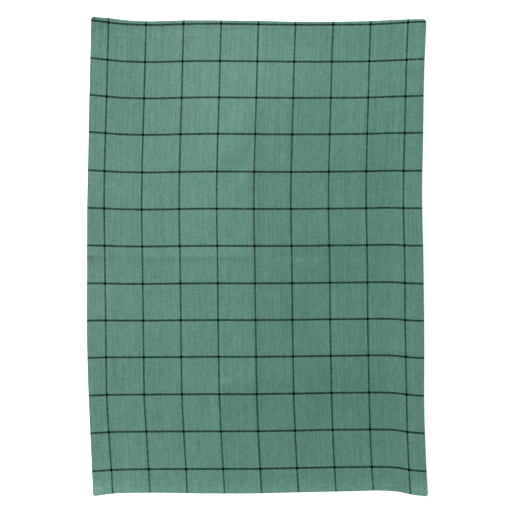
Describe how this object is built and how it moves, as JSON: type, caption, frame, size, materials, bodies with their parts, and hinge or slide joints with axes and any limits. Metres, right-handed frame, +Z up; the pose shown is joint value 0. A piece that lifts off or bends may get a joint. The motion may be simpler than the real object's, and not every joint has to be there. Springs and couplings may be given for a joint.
{
  "type": "tea towel",
  "caption": "Flat cotton tea towel with a fine windowpane check, double-turned hems and soft creases from folding, lying face up to dry dishes with.",
  "frame": {"origin": "middle of the towel's box, on the surface that the underside touches", "axes": "+Z up out of the face, +Y along the length towards the edge with the check line on its hem, +X across the width"},
  "size_m": [0.5058, 0.71, 0.008],
  "materials": {
    "cotton": "matt dyed plain-weave cotton with a thin black check"
  },
  "bodies": {
    "root": {"towel": "cotton"}
  },
  "joints": []
}
